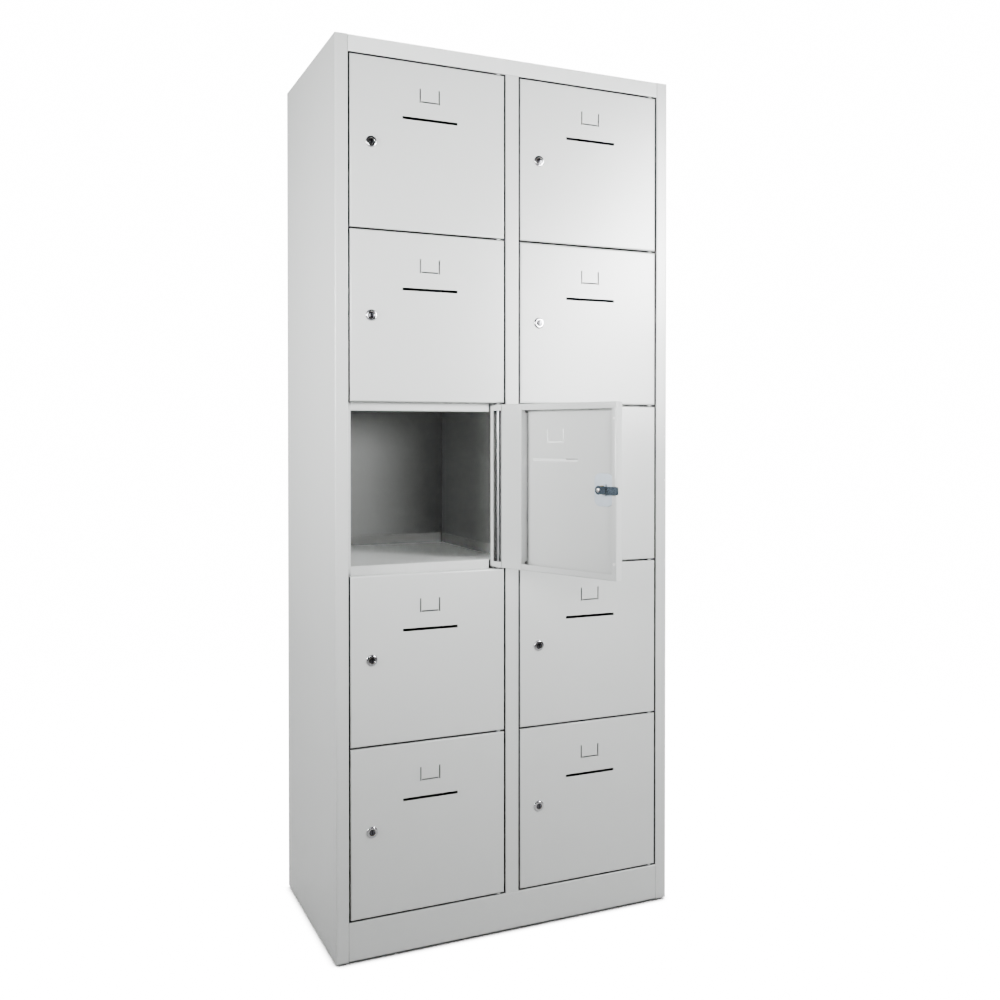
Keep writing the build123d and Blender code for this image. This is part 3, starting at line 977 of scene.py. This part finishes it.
def lockHousingMesh():
    bore = lock["plug"] + lock["clearance"]
    head, rise, rounding, edge = lock["head"], lock["headHeight"], lock["headRound"], lock["boreEdge"]
    outline = [(bore, -rise + edge), (bore + edge, -rise), (head - rounding, -rise)]
    for step in range(1, 6):
        angle = math.pi / 2 * step / 5
        outline.append((head - rounding + rounding * math.sin(angle),
                        -rise + lock["headCrown"] * (1 - math.cos(angle))))
    outline += [(head, 0), (lock["barrel"], 0), (lock["barrel"], sheet)]
    pitch = (lock["barrelEnd"] - lock["threadRunout"] - sheet) / lock["turns"]
    for turn in range(lock["turns"]):
        outline.append((lock["barrel"] - lock["threadDepth"], sheet + (turn + 0.5) * pitch))
        outline.append((lock["barrel"], sheet + (turn + 1) * pitch))
    outline += [(lock["barrelTip"], lock["barrelEnd"]), (bore, lock["barrelEnd"])]
    mesh = bmesh.new()
    closeLathe(mesh, outline, (leaf["lockX"], 0, lockZ), 56)
    data = finishMesh(mesh, "lockHousing", finishes["chrome"], finishes["brass"])
    for face in data.polygons:
        face.material_index = 1 if face.center.y > sheet * 0.5 else 0
    return data


def lockPlateMesh():
    x, width, height = leaf["lockX"], lockPlate["halfWidth"], lockPlate["halfHeight"]
    outline = roundedRectangle(x - width, x + width, lockZ - height, lockZ + height, lockPlate["corner"], 8)
    hole = lock["barrel"] + lockPlate["play"]
    near = 2.5 * sheet
    mesh = bmesh.new()
    holedPlate(mesh, outline, [circle(x, lockZ, hole, 48)], sheet, near)
    hexagon = circle(x, lockZ, lock["nut"], 6)
    holedPlate(mesh, hexagon, [circle(x, lockZ, hole, 30)], near, near + lock["nutHeight"])
    return finishMesh(mesh, "lockPlate", finishes["zinc"])


def plugMesh():
    x, radius, dome, edge = leaf["lockX"], lock["plug"], plug["dome"], plug["edge"]
    front = -lock["headHeight"] + plug["sunk"]
    outline = [(0, front - dome)]
    for step in range(1, 5):
        share = step / 4
        outline.append(((radius - edge) * share, front - dome * (1 - share * share)))
    outline += [(radius, front + edge), (radius, cam["start"]), (0, cam["start"])]
    mesh = bmesh.new()
    lathe(mesh, outline, (x, 0, lockZ), 48)
    data = finishMesh(mesh, "keyPlug", finishes["plugSteel"], finishes["keyway"])
    half, tall, deep = plug["keyWidth"] / 2, plug["keyHeight"] / 2, front + plug["keyDepth"]
    data = carve(data, [((x - half, x + half), (front - plug["cut"], deep), (lockZ - tall, lockZ + tall))])
    # Painted shadow: faces inside the keyway get the near-black keyway finish.
    for face in data.polygons:
        within = front + plug["darkFrom"] < face.center.y < deep + plug["darkPast"]
        central = math.hypot(face.center.x - x, face.center.z - lockZ) < radius * 0.9
        face.material_index = 1 if within and central else 0
    return data


def camStations():
    # Distances from the hub's top to the tip, close together where the outline curves.
    hub, reach, corner = cam["hub"], cam["reach"], cam["corner"]
    along = [-hub * math.cos(math.pi / 2 * step / 8) for step in range(9)]
    along += cam["upper"]
    along += [cam["bendStart"] + (cam["bendEnd"] - cam["bendStart"]) * step / 8 for step in range(9)]
    along += cam["lower"]
    along += [reach - corner * (1 - math.sin(math.pi / 2 * step / 5)) for step in range(6)]
    return along


def camMesh():
    # A strip lofted from hub to tip: hanging, with its crank stepping away from the barrel.
    half, corner, tip = cam["width"] / 2, cam["corner"], cam["reach"] - cam["corner"]
    mesh = bmesh.new()
    rings = []
    for distance in camStations():
        width = half
        if distance < cam["hubEnd"]:
            width = max(math.sqrt(max(cam["hub"] ** 2 - distance ** 2, 0)), cam["narrowest"])
        if distance > tip:
            width = half - corner + math.sqrt(max(corner ** 2 - (distance - tip) ** 2, 0))
        share = min(max((distance - cam["bendStart"]) / (cam["bendEnd"] - cam["bendStart"]), 0), 1)
        near = cam["start"] + cam["offset"] * (3 * share ** 2 - 2 * share ** 3)
        far = near + cam["sheet"]
        x, z = leaf["lockX"], lockZ - distance
        corners = ((x - width, near, z), (x + width, near, z), (x + width, far, z), (x - width, far, z))
        rings.append([mesh.verts.new(point) for point in corners])
    for first, second in zip(rings, rings[1:]):
        bridge(mesh, first, second)
    mesh.faces.new(rings[0])
    mesh.faces.new(rings[-1])
    return finishMesh(mesh, "lockCam", finishes["blueZinc"])


def camScrewMesh():
    x, radius = leaf["lockX"], camScrew["radius"]
    base = cam["start"] + cam["sheet"]
    side = base + camScrew["side"]
    outline = [(0, base - camScrew["rooted"]), (radius, base - camScrew["rooted"]), (radius, side)]
    for step in range(1, 4):
        angle = math.pi / 2 * step / 4
        outline.append((radius * math.cos(angle), side + camScrew["crown"] * math.sin(angle)))
    outline.append((0, side + camScrew["crown"]))
    mesh = bmesh.new()
    lathe(mesh, outline, (x, 0, lockZ), 28)
    data = finishMesh(mesh, "camScrew", finishes["steel"])
    half, tall = camScrew["slotWidth"] / 2, camScrew["slotLength"] / 2
    depth = (base + camScrew["slotFloor"], base + camScrew["cut"])
    return carve(data, [((x - half, x + half), depth, (lockZ - tall, lockZ + tall))])


# Putting the locker together

frameMeshes = {
    "leftSidePanel": (sidePanelMesh("leftSidePanel", leftX, 1, True), "left_side_panel"),
    "rightSidePanel": (sidePanelMesh("rightSidePanel", rightX, -1, False), "right_side_panel"),
    "topPanel": (topPanelMesh(), "top_panel"),
    "baseTray": (baseTrayMesh(), "base_tray"),
    "backPanel": (backPanelMesh(), "back_panel"),
    "centrePost": (centrePostMesh(), "centre_post"),
    "centrePartition": (partitionMesh(), "centre_partition"),
    "compartmentFloors": (shelvesMesh(), "shelves"),
}
for name, (data, node) in frameMeshes.items():
    addPiece(data, name, "cabinet", [node])
addPiece(feetMesh(), "levellingFeet", "cabinet", ["levelling_feet"])
plates = [repeatMesh(hingePlateMesh(column), f"{column}Plates", finishes["paint"], len(rowNumbers) + 1,
                     (0, 0, firstGap), (0, 0, rowPitch)) for column in columns]
addPiece(joined("hingePlates", plates), "hingePlates", "cabinet", ["hinge_fittings"])
addPiece(hingeRodMesh(), "hingeRods", "cabinet", ["hinge_fittings"])
print("cabinet body made")

doorMeshes = {
    "door": (leafMesh(), "grey_paint", "door"),
    "channel": (channelMesh(), "grey_paint", "channel"),
    "buffers": (bufferMesh(), "white_rubber", "buffers"),
    "lockHousing": (lockHousingMesh(), "lock_chrome", "lock"),
    "lockPlate": (lockPlateMesh(), "lock_chrome", "lock"),
}
camMeshes = {
    "keyPlug": (plugMesh(), "cam_zinc"),
    "cam": (camMesh(), "cam_zinc"),
    "camScrew": (camScrewMesh(), "cam_zinc"),
}


def placed(data, place):
    copy = data.copy()
    copy.transform(place)
    return copy


def camTurn(column, row):
    # The stored-open door's lock is turned by its joint's travel back to the hanging cam.
    turn = joints[f"{column}_{row}_cam_turn"]
    angle = math.radians(-turn["range_deg"][0])
    spindle = Vector((leaf["lockX"], 0, lockZ))
    return Matrix.Translation(spindle) @ Matrix.Rotation(angle, 4, "Y") @ Matrix.Translation(-spindle)


for column in columns:
    for row in rowNumbers:
        place = doorPlace(column, row)
        prefix = f"{column}{row}"
        for name, (data, slot, node) in doorMeshes.items():
            addPiece(placed(data, place), f"{prefix}.{name}", f"{column}_{row}_door",
                     [f"{column}_{row}_{node}"])
        turned = place @ camTurn(column, row)
        for name, (data, slot) in camMeshes.items():
            addPiece(placed(data, turned), f"{prefix}.{name}", f"{column}_{row}_cam",
                     [f"{column}_{row}_cam"])
print("doors and locks made")

# Floor and surroundings

studio = {"floorHalf": 14.0, "floorGrey": 0.45, "floorMottle": 0.01, "floorGlow": 16.0, "sky": 0.03,
          "seen": 16.0, "contactReach": 0.025, "contactShut": 0.45, "contactOpen": 0.85}


def makeFloor():
    half = studio["floorHalf"]
    mesh = bmesh.new()
    mesh.faces.new([mesh.verts.new((x, y, 0)) for x, y in rectangle(-half, half, -half, half)])
    data = bpy.data.meshes.new("studioFloor")
    mesh.to_mesh(data)
    mesh.free()
    shade = Shade("paleFloor")
    fine = shade.noise(40.0)
    grey = studio["floorGrey"]
    seen = shade.node("ShaderNodeLightPath", output="Is Camera Ray")
    # The glow stops under the cabinet's edges, which leaves a thin contact shadow.
    clear = shade.openness(8, studio["contactReach"], studio["contactShut"], studio["contactOpen"])
    shade.surface.inputs["Emission Strength"].default_value = studio["floorGlow"]
    colour = shade.tint(fine, (grey - studio["floorMottle"],) * 3, (grey,) * 3)
    glow = shade.tint(seen * clear, (0, 0, 0), (1, 1, 1))
    data.materials.append(shade.finish(colour=colour, roughness=0.75, glow=glow))
    floor = bpy.data.objects.new("studioFloor", data)
    bpy.context.scene.collection.objects.link(floor)


def makeSky():
    world = bpy.data.worlds.new("studioSky")
    bpy.context.scene.world = world
    world.use_nodes = True
    nodes, links = world.node_tree.nodes, world.node_tree.links
    background = nodes["Background"]
    background.inputs["Color"].default_value = (1, 1, 1, 1)
    lightPath = nodes.new("ShaderNodeLightPath")
    strength = nodes.new("ShaderNodeMapRange")
    strength.inputs["To Min"].default_value = studio["sky"]
    strength.inputs["To Max"].default_value = studio["seen"]
    links.new(lightPath.outputs["Is Camera Ray"], strength.inputs["Value"])
    links.new(strength.outputs["Result"], background.inputs["Strength"])


def lightGroup(name, pieces, state):
    group = bpy.data.collections.new(name)
    for piece in pieces:
        group.objects.link(bpy.data.objects[piece])
    for entry in group.collection_objects:
        entry.light_linking.link_state = state
    return group


def shadeInside():
    # The front lights skip the rear and middle walls of the open compartment, which have a soft lamp.
    # The key lights pass the open door, which gets copies of them that it does shade.
    walls = ["backPanel", "centrePartition"]
    leafPieces = [piece.name for piece in bpy.data.objects if piece.name.startswith("left3.")]
    clear = lightGroup("clearOfOpenDoor", leafPieces, "EXCLUDE")
    shaded = lightGroup("shadedWalls", walls, "EXCLUDE")
    unlit = lightGroup("unlitByKeys", walls + leafPieces, "EXCLUDE")
    leafOnly = lightGroup("openDoorOnly", leafPieces, "INCLUDE")
    for name, lamp in frontLamps.items():
        lamp.light_linking.receiver_collection = shaded
        if name in ("key", "keyLow", "rightMid"):
            lamp.light_linking.receiver_collection = unlit
            lamp.light_linking.blocker_collection = clear
            twin = makeSoftbox(name + "Twin", softboxes[name])
            twin.light_linking.receiver_collection = leafOnly
    overhead, inside = makeSoftbox("topLamp", topLamp), makeSoftbox("insideLamp", insideLamp)
    overhead.light_linking.receiver_collection = lightGroup("litTop", ["topPanel"], "INCLUDE")
    inside.light_linking.receiver_collection = lightGroup("litWalls", walls, "INCLUDE")


makeFloor()
makeSky()
shadeInside()
print("studio made")
